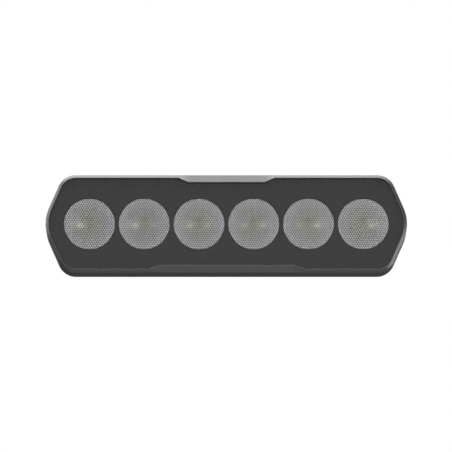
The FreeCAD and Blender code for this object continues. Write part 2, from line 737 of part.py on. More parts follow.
def make_led(lamp):
    """Surface-mounted LED: square base with a small domed lens."""
    body = new_body(f"led_{lamp}")
    outline = rectangle("led_half_base", "led_half_base", "led_round")
    front_slab(body, f"led_{lamp}_base", [outline], BOARD_FRONT, f"({BOARD_FRONT} + led_base_height)")
    profile = new_sketch(body, f"led_{lamp}_profile", "XY_Plane")
    inside_base = f"-{BOARD_FRONT} - led_base_height / 2"
    top = f"-{BOARD_FRONT} - led_height"
    draw_outline(profile, [
        ("0", inside_base),
        ("led_dome", inside_base),
        ("led_dome", top, "led_dome - led_round"),
        ("0", top),
    ])
    revolve(body, profile, "V_Axis", f"led_{lamp}_dome")
    bind(body, Placement__Base__x=lamp_x(lamp))
    return body


def make_led_board():
    """Metal-core board that carries the six LEDs."""
    body = new_body("led_board")
    holes = [(x, z, "screw_hole + screw_play") for x, z in LED_BOARD_SCREWS]
    holes.append(("0", "lead_height", "lead_slot"))
    outline = rectangle("board_half_length", "board_half_height", "board_round")
    front_slab(body, "led_board_plate", [outline], BOARD_BACK, BOARD_FRONT, holes)
    return body


def make_thermal_pad():
    """Heat-conducting sheet between the LED board and the housing."""
    body = new_body("thermal_pad")
    holes = [(x, z, "screw_hole + 2 * screw_play") for x, z in LED_BOARD_SCREWS]
    holes.append(("0", "lead_height", "lead_hole + screw_hole"))
    outline = rectangle("board_half_length - pad_margin", "board_half_height - pad_margin", "board_round")
    front_slab(body, "thermal_pad_sheet", [outline], WALL_FRONT, BOARD_BACK, holes)
    return body


# ---------------------------------------------------------------- driver box

def make_driver_board():
    """Circuit board of the constant-current driver."""
    body = new_body("driver_board")
    holes = [(x, z, "screw_hole + screw_play") for x, z in DRIVER_BOARD_SCREWS]
    half_length = "bay_half_length - driver_end_gap"
    half_height = "bay_half_height - driver_side_gap"
    outline = rectangle(half_length, half_height, "board_round")
    front_slab(body, "driver_board_plate", [outline], DRIVER_BOARD_BACK, DRIVER_BOARD_FRONT, holes)
    return body


def make_driver_components():
    """The parts that stand on the back of the driver board."""
    # label, length along x, height off the board, length along z, and the middle's x and z
    blocks = [
        ("inductor", "11", "7", "11", "-15", "0"),
        ("driver_chip", "5", "1.5", "4", "5", "-6"),
        ("power_transistor", "6.5", "2.3", "6", "16", "-4"),
    ]
    for label, length, height, width, x, z in blocks:
        block(label, (length, height, width), x, f"{DRIVER_BOARD_BACK} - {height}", z)
    can_radius = "4"
    can_height = "9"
    can_z = "5"
    for label, x in (("input_capacitor", "-2"), ("output_capacitor", "9")):
        cylinder(label, can_radius, can_height, x, f"{DRIVER_BOARD_BACK} - {can_height}", can_z)


def make_rear_cover():
    """Flat cover that closes the driver box."""
    body = new_body("rear_cover")
    holes = [(x, z, "screw_hole + screw_play") for x, z in REAR_COVER_SCREWS]
    holes.append(("vent_x", "0", f"vent_stem + {RUNNING_FIT} / 2"))
    outline = rectangle("box_half_length", "box_half_height", "box_round")
    front_slab(body, "rear_cover_plate", [outline], REAR_COVER_BACK, REAR_COVER_FRONT, holes)
    return body


def make_rear_cover_seal():
    """Silicone ring under the rear cover."""
    body = new_body("rear_cover_seal")
    outlines = [
        rectangle(
            "box_half_length - rear_seal_inset",
            "box_half_height - rear_seal_inset",
            "box_round - rear_seal_inset",
        ),
        rectangle("bay_half_length", "bay_half_height", "bay_round"),
    ]
    holes = [(x, z, "screw_hole + screw_play") for x, z in REAR_COVER_SCREWS]
    front_slab(body, "rear_cover_seal_ring", outlines, REAR_COVER_FRONT, FIN_TIPS, holes)
    return body


def make_breather_vent():
    """Press-in vent that lets the sealed housing breathe."""
    cap_start = f"{REAR_COVER_BACK} - vent_height"
    cap = cylinder("vent_cap", "vent_radius", "vent_height", "vent_x", cap_start, "0")
    stem = cylinder("vent_stem_bar", "vent_stem", "2 * rear_cover_thickness", "vent_x", REAR_COVER_BACK, "0")
    join("breather_vent", [cap, stem])


def make_lead_grommet():
    """Rubber ring that carries the LED leads through the housing's back wall."""
    start = f"{BAY_FRONT} - {PAST}"
    length = f"{WALL_FRONT} - ({start})"
    sleeve = cylinder("grommet_sleeve", f"lead_hole - {RUNNING_FIT}", length, "0", start, "lead_height")
    collar = cylinder("grommet_collar", "lead_hole + grommet_lip", PAST, "0", start, "lead_height")
    outside = join("grommet_outside", [sleeve, collar])
    bore_start = f"{start} - {PAST}"
    bore = cylinder("grommet_hole", "grommet_bore", f"{length} + 2 * {PAST}", "0", bore_start, "lead_height")
    subtract("lead_grommet", outside, bore)


def make_led_leads():
    """Two insulated leads from the driver board through the walls, bent over onto the LED board."""
    bend_start = f"({BOARD_FRONT} + lead_radius)"
    leads = []
    for index, x in enumerate(("-lead_x", "lead_x"), start=1):
        run = cylinder(
            f"led_lead_run_{index}",
            "lead_radius",
            f"{bend_start} - {DRIVER_BOARD_FRONT}",
            x,
            DRIVER_BOARD_FRONT,
            "lead_height",
        )
        bend = half_turn(f"led_lead_bend_{index}", "lead_radius", "lead_bend", x, bend_start, "lead_height")
        end = cylinder(
            f"led_lead_end_{index}",
            "lead_radius",
            "lead_radius",
            x,
            BOARD_FRONT,
            "lead_height + 2 * lead_bend",
        )
        leads.append(join(f"led_lead_{index}", [run, bend, end]))
    group("led_leads", leads)


# ---------------------------------------------------------------- power inlet

def make_inlet():
    """Sealed round power inlet under the driver box: shell, two pins, seal and nut."""
    box_bottom = "-box_half_height"
    flange_top = f"{box_bottom} - seal_thickness"
    flange_low = f"{flange_top} - inlet_flange_height"
    shell_end = f"{flange_low} - inlet_length"
    body = new_body("inlet_shell")
    profile = new_sketch(body, "inlet_profile", "XZ_Plane", "inlet_reach")
    draw_outline(profile, [
        ("0", "-bay_half_height + inlet_neck_top"),
        ("inlet_neck", "-bay_half_height + inlet_neck_top"),
        ("inlet_neck", flange_top),
        ("inlet_radius + inlet_flange", flange_top),
        ("inlet_radius + inlet_flange", flange_low),
        ("inlet_radius", flange_low),
        ("inlet_radius", shell_end),
        ("inlet_bore", shell_end),
        ("inlet_bore", f"{flange_top} - inlet_floor"),
        ("0", f"{flange_top} - inlet_floor"),
    ])
    revolve(body, profile, "V_Axis", "inlet_solid")
    pin_holes = new_sketch(body, "inlet_pin_circles", "XY_Plane", f"{shell_end} - {PAST}")
    for x in ("-pin_x", "pin_x"):
        draw_circle(pin_holes, x, "-inlet_reach", f"pin_radius + {RUNNING_FIT} / 2")
    pocket(body, pin_holes, "half_height", "inlet_pin_holes", along_normal=True)

    pin_top = "-bay_half_height + pin_rise"
    pins = [
        cylinder(f"inlet_pin_{index}", "pin_radius", "pin_length", x, "inlet_reach", pin_top, "down")
        for index, x in enumerate(("-pin_x", "pin_x"), start=1)
    ]
    group("inlet_pins", pins)
    seal_radius = "inlet_radius + inlet_seal_lip"
    washer_ring("inlet_seal", f"inlet_neck + {RUNNING_FIT}", seal_radius, "seal_thickness", box_bottom)
    nut_top = "-bay_half_height + nut_height"
    washer_ring("inlet_nut", f"inlet_neck + {RUNNING_FIT} / 2", "nut_radius", "nut_height", nut_top)


def washer_ring(label, inner, outer, height, top):
    """A flat ring about the inlet's axis, hanging down from a height."""
    disc = cylinder(f"{label}_disc", outer, height, "0", "inlet_reach", top, "down")
    above = f"{top} + {PAST}"
    hole = cylinder(f"{label}_hole", inner, f"{height} + 2 * {PAST}", "0", "inlet_reach", above, "down")
    subtract(label, disc, hole)


# ---------------------------------------------------------------- tilt joint and bracket

def side_ring(label, inner, outer, start, thickness):
    """A flat washer on the hinge axis."""
    disc = cylinder(f"{label}_disc", outer, thickness, start, "hinge_reach", "0", "right")
    before = f"{start} - {PAST}"
    hole = cylinder(f"{label}_hole", inner, f"{thickness} + 2 * {PAST}", before, "hinge_reach", "0", "right")
    return subtract(label, disc, hole)


def make_pivot(side, sign):
    """One side of the tilt joint: friction washer, flat washer, lock washer and bolt."""
    def start(near, thickness):
        return near if sign > 0 else f"-({near}) - ({thickness})"

    def ring(label, outer, near, thickness):
        inner = f"bolt_radius + {RUNNING_FIT}"
        return side_ring(f"{label}_{side}", inner, outer, start(near, thickness), thickness)

    flat_washer = f"{EAR_OUTER} + ear_gap"
    lock_washer = f"{flat_washer} + flat_thickness"
    head = f"{lock_washer} + lock_thickness"
    ring("friction_washer", "nylon_radius", LUG_FACE, "nylon_thickness")
    ring("flat_washer", "flat_radius", flat_washer, "flat_thickness")
    whole_ring = ring("whole_lock_washer", "lock_radius", lock_washer, "lock_thickness")
    split = block(
        f"lock_split_{side}",
        (f"lock_thickness + 2 * {PAST}", "lock_split", f"lock_radius - bolt_radius + {PAST}"),
        f"{start(lock_washer, 'lock_thickness')} + lock_thickness / 2",
        "hinge_reach - lock_split / 2",
        "(bolt_radius + lock_radius) / 2",
    )
    subtract(f"lock_washer_{side}", whole_ring, split)

    shank_end = f"(lug_inner + {PAST})"
    shank_length = f"{head} - {shank_end}"
    body = new_body(f"pivot_bolt_{side}")
    shank = new_sketch(body, f"bolt_shank_{side}", "YZ_Plane", start(shank_end, shank_length))
    draw_circle(shank, "-hinge_reach", "0", "bolt_radius")
    pad(body, shank, shank_length, f"bolt_stem_{side}")
    hexagon = new_sketch(body, f"bolt_hexagon_{side}", "YZ_Plane", start(head, "bolt_head_height"))
    corner_reach = "bolt_head_flats / sqrt(3)"
    corners = [
        (f"-hinge_reach + {corner_reach} * cos({60 * step})", f"{corner_reach} * sin({60 * step})")
        for step in range(6)
    ]
    draw_outline(hexagon, corners)
    pad(body, hexagon, "bolt_head_height", f"bolt_head_{side}")


def make_bracket():
    """Pressed steel U bracket: slotted plate with a bent ear at each end."""
    body = new_body("bracket")
    profile = new_sketch(body, "bracket_profile", "XY_Plane", "-bracket_half_height")
    outer_bend = "bend_radius + steel_thickness"
    draw_outline(profile, [
        (EAR_OUTER, "0", outer_bend),
        (EAR_OUTER, "-ear_root"),
        (EAR_INNER, "-ear_root"),
        (EAR_INNER, "-steel_thickness", "bend_radius"),
        (f"-{EAR_INNER}", "-steel_thickness", "bend_radius"),
        (f"-{EAR_INNER}", "-ear_root"),
        (f"-{EAR_OUTER}", "-ear_root"),
        (f"-{EAR_OUTER}", "0", outer_bend),
    ])
    pad(body, profile, "2 * bracket_half_height", "bracket_plate")
    neck = "-hinge_reach + ear_neck"
    tip = "-hinge_reach - ear_round"
    for side, start in (("left", f"-{EAR_OUTER}"), ("right", EAR_INNER)):
        ear = new_sketch(body, f"{side}_ear_outline", "YZ_Plane", start)
        draw_outline(ear, [
            ("-ear_root", "-bracket_half_height"),
            (neck, "-ear_round", "ear_neck_round"),
            (tip, "-ear_round", "ear_corner"),
            (tip, "ear_round", "ear_corner"),
            (neck, "ear_round", "ear_neck_round"),
            ("-ear_root", "bracket_half_height"),
        ])
        pad(body, ear, "steel_thickness", f"{side}_ear")

    pivots = new_sketch(body, "ear_circle", "YZ_Plane", EAR_OUTER)
    draw_circle(pivots, "-hinge_reach", "0", "ear_hole")
    pocket(body, pivots, f"2 * {EAR_OUTER}", "ear_holes")
    for side in (-1, 1):
        slot = new_sketch(body, f"slot_outline_{side}", "XZ_Plane", "steel_thickness")
        draw_slot(slot, f"{side} * slot_spacing / 2")
        pocket(body, slot, "steel_thickness", f"slot_{side}")


def draw_slot(sketch, middle):
    """A slot along x with round ends, about a middle point."""
    half_straight = "(slot_length / 2 - slot_radius)"
    ends = []
    for side, first_angle in ((1, -math.pi / 2), (-1, math.pi / 2)):
        centre = V(number(middle) + side * number(half_straight), 0, 0)
        circle = Part.Circle(centre, V(0, 0, 1), number("slot_radius"))
        ends.append(Part.ArcOfCircle(circle, first_angle, first_angle + math.pi))
    right, left = ends
    top = Part.LineSegment(right.EndPoint, left.StartPoint)
    low = Part.LineSegment(left.EndPoint, right.StartPoint)
    loop = sketch.addGeometry([right, top, left, low], False)
    for index, piece in enumerate(loop):
        sketch.addConstraint(Sketcher.Constraint("Tangent", loop[index - 1], 2, piece, 1))
    place_point(sketch, loop[0], 3, f"{middle} + {half_straight}", "0")
    place_point(sketch, loop[2], 3, f"{middle} - {half_straight}", "0")
    constraint = sketch.addConstraint(Sketcher.Constraint("Radius", loop[0], number("slot_radius")))
    sketch.setExpression(f"Constraints[{constraint}]", cells("slot_radius"))


# ---------------------------------------------------------------- the whole lamp

make_housing()
make_front_cover()
make_lens_mask()
make_cover_seal()
for lamp in LAMP_NUMBERS:
    make_optic(lamp)
    make_optic_holder(lamp)
    make_led(lamp)
make_led_board()
make_thermal_pad()
screws("led_board_screws", LED_BOARD_SCREWS, BOARD_FRONT, "-board_screw_length")
make_driver_board()
make_driver_components()
screws("driver_board_screws", DRIVER_BOARD_SCREWS, DRIVER_BOARD_BACK, "driver_screw_length")
make_rear_cover()
make_rear_cover_seal()
screws("rear_cover_screws", REAR_COVER_SCREWS, REAR_COVER_BACK, "rear_screw_length")
make_breather_vent()
make_lead_grommet()
make_led_leads()
make_inlet()
for side_name, side_sign in (("left", -1), ("right", 1)):
    make_pivot(side_name, side_sign)
make_bracket()
doc.recompute()


# ---------------------------------------------------------------- checks and files

def is_node(item):
    """A sub-part that nothing else in the document is built from."""
    if item.TypeId == "PartDesign::Body":
        return True
    return item.TypeId.startswith("Part::") and not item.InList


for item in doc.Objects:
    if "Invalid" in item.State or "Error" in item.State:
        raise RuntimeError(f"{item.Name} did not build: {item.State}")

nodes = [item for item in doc.Objects if is_node(item)]
for node in nodes:
    if node.Shape.isNull() or not node.Shape.isValid():
        raise RuntimeError(f"{node.Label} has no valid shape")

os.makedirs("parts", exist_ok=True)
for node in nodes:
    node.Shape.exportStep(f"parts/{node.Label}.step")
    print(f"{node.Label:24s} solids {len(node.Shape.Solids):2d}  volume {node.Shape.Volume:10.1f} mm3")
print(len(nodes), "nodes")
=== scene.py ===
"""Looks of the LED light bar: materials, fly-eye optics, light and camera.

Lengths are in metres in the part's own frame: the lamp faces -Y, X runs along it, +Z is up.
"""

import fnmatch
import math

import bmesh
import bpy
from mathutils import Matrix, Vector


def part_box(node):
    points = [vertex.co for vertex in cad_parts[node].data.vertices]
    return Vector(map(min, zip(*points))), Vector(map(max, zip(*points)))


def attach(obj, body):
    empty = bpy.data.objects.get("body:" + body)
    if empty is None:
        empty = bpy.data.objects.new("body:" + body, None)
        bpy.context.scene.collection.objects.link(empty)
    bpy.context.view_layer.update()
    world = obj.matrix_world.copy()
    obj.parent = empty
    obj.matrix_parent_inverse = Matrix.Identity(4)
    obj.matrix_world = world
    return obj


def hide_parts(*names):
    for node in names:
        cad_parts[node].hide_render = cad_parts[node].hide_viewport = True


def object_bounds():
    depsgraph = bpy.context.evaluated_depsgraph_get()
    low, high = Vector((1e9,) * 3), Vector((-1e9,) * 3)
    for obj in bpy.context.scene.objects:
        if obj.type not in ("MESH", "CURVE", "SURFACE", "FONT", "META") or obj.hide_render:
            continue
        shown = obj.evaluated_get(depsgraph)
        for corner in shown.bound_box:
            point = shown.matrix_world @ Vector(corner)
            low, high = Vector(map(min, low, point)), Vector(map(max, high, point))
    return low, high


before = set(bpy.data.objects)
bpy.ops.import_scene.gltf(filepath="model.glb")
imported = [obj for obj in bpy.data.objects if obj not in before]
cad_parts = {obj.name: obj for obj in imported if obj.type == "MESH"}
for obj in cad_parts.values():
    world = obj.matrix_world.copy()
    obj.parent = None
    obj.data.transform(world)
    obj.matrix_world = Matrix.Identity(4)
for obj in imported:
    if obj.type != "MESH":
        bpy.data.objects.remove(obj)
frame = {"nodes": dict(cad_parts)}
CAD_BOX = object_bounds()
MM = 0.001
LAMPS = range(1, 7)
WHITE = (1.0, 1.0, 1.0, 1.0)


def add_object(name, data):
    """An object of the scene that shows this mesh, light or camera."""
    added = bpy.data.objects.new(name, data)
    bpy.context.scene.collection.objects.link(added)
    return added


# ---------------------------------------------------------------- node helpers

NOISE_SPAN = (0.3, 0.7)     # where nearly all of a noise's values lie
ALIKE_ON_EDGE = 0.85        # how alike the rounded and the plain normal are on an edge
BEVEL_SAMPLES = 6


def new_material(name):
    """A node material with its Principled shader and output."""
    material = bpy.data.materials.new(name)
    material.use_nodes = True
    tree = material.node_tree
    shader = tree.nodes["Principled BSDF"]
    return material, tree, shader


def add_node(tree, kind, inputs=None, **settings):
    """A node with its settings and unlinked inputs filled in."""
    node = tree.nodes.new(kind)
    for name, value in settings.items():
        setattr(node, name, value)
    for name, value in (inputs or {}).items():
        node.inputs[name].default_value = value
    return node


def object_place(tree):
    """Places on the piece in metres, the same for every piece of the frame."""
    return add_node(tree, "ShaderNodeTexCoord").outputs["Object"]


def noise(tree, scale, detail=3.0):
    """A noise value, with scale in waves per metre."""
    node = add_node(tree, "ShaderNodeTexNoise", {"Scale": scale, "Detail": detail})
    tree.links.new(object_place(tree), node.inputs["Vector"])
    return node.outputs["Fac"]


def remap(tree, value, low, high, start=0.0, end=1.0):
    """A value moved from start..end to low..high."""
    node = add_node(
        tree,
        "ShaderNodeMapRange",
        {"From Min": start, "From Max": end, "To Min": low, "To Max": high},
    )
    tree.links.new(value, node.inputs["Value"])
    return node.outputs["Result"]


def uneven(tree, scale, low, high, detail=3.0):
    """A value that wanders between low and high, with scale in waves per metre."""
    return remap(tree, noise(tree, scale, detail), low, high, *NOISE_SPAN)


def mix_colours(tree, factor, dark, light):
    """A colour between two colours or colour sockets."""
    node = add_node(tree, "ShaderNodeMix", data_type="RGBA")
    tree.links.new(factor, node.inputs["Factor"])
    for name, colour in (("A", dark), ("B", light)):
        socket = next(s for s in node.inputs if s.name == name and s.type == "RGBA")
        if isinstance(colour, bpy.types.NodeSocket):
            tree.links.new(colour, socket)
        else:
            socket.default_value = (*colour, 1.0)
    return next(s for s in node.outputs if s.type == "RGBA")


def combine(tree, operation, first, second):
    """Two values put together by a math operation."""
    node = add_node(tree, "ShaderNodeMath", operation=operation)
    tree.links.new(first, node.inputs[0])
    tree.links.new(second, node.inputs[1])
    return node.outputs["Value"]


def multiply(tree, first, second):
    """The product of two values."""
    return combine(tree, "MULTIPLY", first, second)


def larger(tree, first, second):
    """The larger of two values."""
    return combine(tree, "MAXIMUM", first, second)


def show_blend(tree, share, first, second):
    """Show a blend of two shaders, with a share of the second one."""
    blend = add_node(tree, "ShaderNodeMixShader")
    tree.links.new(share, blend.inputs["Fac"])
    tree.links.new(first.outputs["BSDF"], blend.inputs[1])
    tree.links.new(second.outputs["BSDF"], blend.inputs[2])
    tree.links.new(blend.outputs["Shader"], tree.nodes["Material Output"].inputs["Surface"])


def near_edges(tree, reach):
    """1 on an edge, falling to 0 within a reach of it."""
    softened = add_node(tree, "ShaderNodeBevel", {"Radius": reach}, samples=BEVEL_SAMPLES)
    likeness = add_node(tree, "ShaderNodeVectorMath", operation="DOT_PRODUCT")
    tree.links.new(softened.outputs["Normal"], likeness.inputs[0])
    tree.links.new(add_node(tree, "ShaderNodeNewGeometry").outputs["Normal"], likeness.inputs[1])
    return remap(tree, likeness.outputs["Value"], 1.0, 0.0, ALIKE_ON_EDGE, 1.0)


def bump(tree, shader, height, distance, edge_round):
    """Raise the surface's shading by a height in metres, over softly rounded edges."""
    node = add_node(tree, "ShaderNodeBump", {"Strength": 1.0, "Distance": distance})
    if edge_round:
        edges = add_node(tree, "ShaderNodeBevel", {"Radius": edge_round}, samples=BEVEL_SAMPLES)
        tree.links.new(edges.outputs["Normal"], node.inputs["Normal"])
    tree.links.new(height, node.inputs["Height"])
    tree.links.new(node.outputs["Normal"], shader.inputs["Normal"])


# ---------------------------------------------------------------- surfaces

MOTTLE_SHARE = 0.08         # waves of mottled colour for each wave of grain
GLOSS_SHARE = 0.3           # waves of uneven gloss for each wave of grain
WEAR_SCALE = 400.0          # patches of wear per metre
WEAR_SPAN = (0.4, 0.65)     # noise values from which wear shows, and at which it is full


def surface(name, dark, light, rough, grain, depth, metallic=0.0, shine=0.5, edge=0.0, worn=None):
    """A moulded, coated or metal surface: mottled colour, uneven gloss and fine grain.

    grain is in waves per metre and depth is its height. shine is the strength of a non-metal's
    gloss. edge is the radius that softens the shading of its edges, and worn is the colour that
    shows where they are rubbed.
    """
    material, tree, shader = new_material(name)
    mottle = noise(tree, MOTTLE_SHARE * grain, detail=4.0)
    colour = mix_colours(tree, mottle, dark, light)
    if worn:
        patches = remap(tree, noise(tree, WEAR_SCALE), 0.0, 1.0, *WEAR_SPAN)
        colour = mix_colours(tree, multiply(tree, near_edges(tree, edge), patches), colour, worn)
    tree.links.new(colour, shader.inputs["Base Color"])
    tree.links.new(uneven(tree, GLOSS_SHARE * grain, *rough), shader.inputs["Roughness"])
    shader.inputs["Metallic"].default_value = metallic
    shader.inputs["Specular IOR Level"].default_value = shine
    bump(tree, shader, noise(tree, grain, detail=2.0), depth, edge)
    return material


def clear_cover():
    """Clear sheet with an anti-glare coat: see-through, with gloss at a slant on its outside."""
    material, tree, shader = new_material("clear_polycarbonate")
    tree.nodes.remove(shader)
    reflected = add_node(tree, "ShaderNodeFresnel", {"IOR": 1.5}).outputs["Fac"]
    reflected_straight_on = 0.045
    slant = remap(tree, reflected, 0.0, 1.0, reflected_straight_on, 1.0)
    left_by_coat = uneven(tree, scale=60.0, low=0.26, high=0.34, detail=2.0)
    inside = add_node(tree, "ShaderNodeNewGeometry").outputs["Backfacing"]
    outside = remap(tree, inside, 1.0, 0.0)
    share = multiply(tree, multiply(tree, slant, left_by_coat), outside)
    clear = add_node(tree, "ShaderNodeBsdfTransparent", {"Color": (0.98, 0.98, 0.98, 1.0)})
    gloss = add_node(tree, "ShaderNodeBsdfAnisotropic", {"Roughness": 0.08})
    show_blend(tree, share, clear, gloss)
    return material


def dress(material, *patterns):
    """Give a material to the CAD nodes whose names match a pattern."""
    for pattern in patterns:
        for name in fnmatch.filter(frame["nodes"], pattern):
            mesh = frame["nodes"][name].data
            mesh.materials.clear()
            mesh.materials.append(material)


powder_coat = surface(
    "black_powder_coat",
    dark=(0.030, 0.030, 0.032),
    light=(0.042, 0.042, 0.045),
    rough=(0.36, 0.46),
    grain=2600.0,
    depth=0.020 * MM,
    shine=1.0,
    edge=0.4 * MM,
    worn=(0.062, 0.062, 0.064),
)
bracket_coat = surface(
    "black_bracket_coat",
    dark=(0.026, 0.026, 0.028),
    light=(0.036, 0.036, 0.038),
    rough=(0.42, 0.55),
    grain=2200.0,
    depth=0.030 * MM,
    edge=0.6 * MM,
    worn=(0.075, 0.075, 0.078),
)
mask_paint = surface(
    "black_mask",
    dark=(0.0125, 0.0115, 0.0140),
    light=(0.0135, 0.0125, 0.0150),
    rough=(0.24, 0.27),
    grain=1500.0,
    depth=0.0005 * MM,
    shine=0.62,
)
moulded_nylon = surface(
    "black_nylon",
    dark=(0.022, 0.022, 0.023),
    light=(0.032, 0.032, 0.033),
    rough=(0.45, 0.6),
    grain=1800.0,
    depth=0.030 * MM,
    edge=0.3 * MM,
    worn=(0.05, 0.05, 0.052),
)
silicone = surface(
    "black_silicone",
    dark=(0.020, 0.020, 0.020),
    light=(0.030, 0.030, 0.030),
    rough=(0.6, 0.75),
    grain=1500.0,
    depth=0.030 * MM,
)
stainless = surface(
    "stainless_steel",
    dark=(0.36, 0.36, 0.37),
    light=(0.46, 0.46, 0.47),
    rough=(0.30, 0.45),
    grain=3500.0,
    depth=0.010 * MM,
    metallic=1.0,
    edge=0.2 * MM,
)
spring_steel = surface(
    "lock_washer_steel",
    dark=(0.40, 0.40, 0.41),
    light=(0.55, 0.55, 0.56),
    rough=(0.3, 0.45),
    grain=3000.0,
    depth=0.010 * MM,
    metallic=1.0,
)
brass = surface(
    "plated_brass",
    dark=(0.62, 0.47, 0.22),
    light=(0.75, 0.60, 0.32),
    rough=(0.22, 0.35),
    grain=3000.0,
    depth=0.010 * MM,
    metallic=1.0,
)
natural_nylon = surface(
    "natural_nylon",
    dark=(0.70, 0.69, 0.63),
    light=(0.80, 0.79, 0.74),
    rough=(0.4, 0.55),
    grain=1500.0,
    depth=0.020 * MM,
)
white_board = surface(
    "white_solder_mask",
    dark=(0.72, 0.72, 0.70),
    light=(0.82, 0.82, 0.80),
    rough=(0.3, 0.42),
    grain=1200.0,
    depth=0.010 * MM,
)
green_board = surface(
    "green_solder_mask",
    dark=(0.01, 0.12, 0.04),
    light=(0.02, 0.18, 0.06),
    rough=(0.25, 0.4),
    grain=1200.0,
    depth=0.020 * MM,
)
heat_sheet = surface(
    "thermal_pad_grey",
    dark=(0.35, 0.37, 0.40),
    light=(0.45, 0.47, 0.50),
    rough=(0.7, 0.8),
    grain=900.0,
    depth=0.030 * MM,
)
ferrite = surface(
    "ferrite",
    dark=(0.040, 0.040, 0.042),
    light=(0.070, 0.070, 0.070),
    rough=(0.5, 0.65),
    grain=2500.0,
    depth=0.050 * MM,
)
capacitor_can = surface(
    "capacitor_can",
    dark=(0.55, 0.55, 0.57),
    light=(0.70, 0.70, 0.72),
    rough=(0.25, 0.4),
    grain=2000.0,
    depth=0.010 * MM,
    metallic=1.0,
)
epoxy = surface(
    "black_epoxy",
    dark=(0.020, 0.020, 0.020),
    light=(0.030, 0.030, 0.030),
    rough=(0.5, 0.6),
    grain=3000.0,
    depth=0.020 * MM,
)
insulation = surface(
    "red_insulation",
    dark=(0.40, 0.020, 0.015),
    light=(0.50, 0.040, 0.030),
    rough=(0.4, 0.5),
    grain=1500.0,
    depth=0.010 * MM,
)
phosphor = surface(
    "yellow_phosphor",
    dark=(0.75, 0.60, 0.08),
    light=(0.85, 0.70, 0.15),
    rough=(0.2, 0.3),
    grain=2500.0,
    depth=0.010 * MM,
)

dress(powder_coat, "housing", "rear_cover")
dress(bracket_coat, "bracket")
dress(mask_paint, "lens_mask")
dress(clear_cover(), "front_cover")
dress(moulded_nylon, "optic_holder_*", "inlet_shell", "breather_vent")
dress(silicone, "*_seal", "lead_grommet")
dress(stainless, "pivot_bolt_*", "flat_washer_*", "*_screws")
dress(spring_steel, "lock_washer_*")
dress(brass, "inlet_pins", "inlet_nut")
dress(natural_nylon, "friction_washer_*")
dress(white_board, "led_board")
dress(heat_sheet, "thermal_pad")
dress(green_board, "driver_board")
dress(ferrite, "inductor")
dress(capacitor_can, "*_capacitor")
dress(epoxy, "driver_chip", "power_transistor")
dress(insulation, "led_leads")
dress(phosphor, "led_[1-6]")


# ---------------------------------------------------------------- fly-eye optics

# Patches of an optic's front: x and z of the middle, then the reach along x and z, all in shares
# of the radius.
WHOLE_FRONT = (0.0, 0.0, 1.0, 1.0)
HEART = (0.0, 0.0, 0.7, 0.9)
# The LED patch: the LED's yellow above the middle, darkened by painted shade from the top light.
LED = (0.0, 0.18, 0.22, 0.16)
# The next two patches are painted reflections of the side lights and their painted glints.
SIDE_LIGHT_LOBE = (0.5, -0.02, 0.6, 0.32)
GLINT = (0.35, -0.06, 0.2, 0.13)

RIM_HIGHLIGHT_FADE = 0.35             # share of the way in from the edge over which the painted rim highlight fades
LED_SHADE_SHARE = 0.5             # how far the LED's yellow under painted shade shows at its middle
SIDE_LIGHT_LOBE_SHARE = 0.5            # how far a painted side-light reflection shows on an optic in the lamp's middle
SIDE_LIGHT_LOBE_LEAN = 0.45            # how much more it shows on the outer side of an end optic
GLEAM_SHARE = 0.4           # how far the painted highlight on a lenslet's outer side shows
GLEAM_SPAN = (0.1, 0.8)     # from where to where it grows, in shares of a cell's reach
CREASE_SHADE_SPAN = (0.35, 0.9)   # the same for the painted shade in the creases, in squared shares

BOWL_COLOUR = (0.355, 0.358, 0.358)
# painted highlight round the optic's rim
RIM_HIGHLIGHT_COLOUR = (0.444, 0.451, 0.467)
HEART_COLOUR = (0.340, 0.334, 0.272)
# the LED's yellow darkened by painted shade
LED_SHADE_COLOUR = (0.184, 0.181, 0.122)
# painted reflection of a side light
SIDE_LIGHT_LOBE_COLOUR = (0.505, 0.500, 0.451)
# painted glint in that reflection
GLINT_COLOUR = (0.765, 0.750, 0.643)
# painted highlight on each lenslet's outer side
GLEAM_COLOUR = (0.520, 0.523, 0.523)
# painted shade in the creases between lenslets
CREASE_SHADE_COLOUR = (0.062, 0.062, 0.062)

LENSLET_PITCH = 1.8 * MM
LENSLET_RADIUS = 1.35 * MM
CELL_REACH = LENSLET_PITCH / math.sqrt(3)
DOME_RINGS = (0.45, 0.8)    # rings of points on a dome, in shares of its cell's reach
DISC_SIDES = 72
RIM_WIDTH = 0.25 * MM
RIM_BACK = 0.6 * MM
FLANGE_BACK = 1.6 * MM
SAME_PLACE = 0.005 * MM


def spot(tree, place, centre, reach):
    """1 at a spot's centre, falling smoothly to 0 at its elliptical edge.

    centre and reach are pairs along x and z.
    """
    offset = add_node(tree, "ShaderNodeVectorMath", operation="SUBTRACT")
    tree.links.new(place, offset.inputs[0])
    offset.inputs[1].default_value = (centre[0], 0.0, centre[1])
    scaled = add_node(tree, "ShaderNodeVectorMath", operation="MULTIPLY")
    tree.links.new(offset.outputs["Vector"], scaled.inputs[0])
    scaled.inputs[1].default_value = (1.0 / reach[0], 0.0, 1.0 / reach[1])
    distance = add_node(tree, "ShaderNodeVectorMath", operation="LENGTH")
    tree.links.new(scaled.outputs["Vector"], distance.inputs[0])
    fade = add_node(
        tree,
        "ShaderNodeMapRange",
        {"From Min": 1.0, "From Max": 0.0},
        interpolation_type="SMOOTHSTEP",
    )
    tree.links.new(distance.outputs["Value"], fade.inputs["Value"])
    return fade.outputs["Result"]


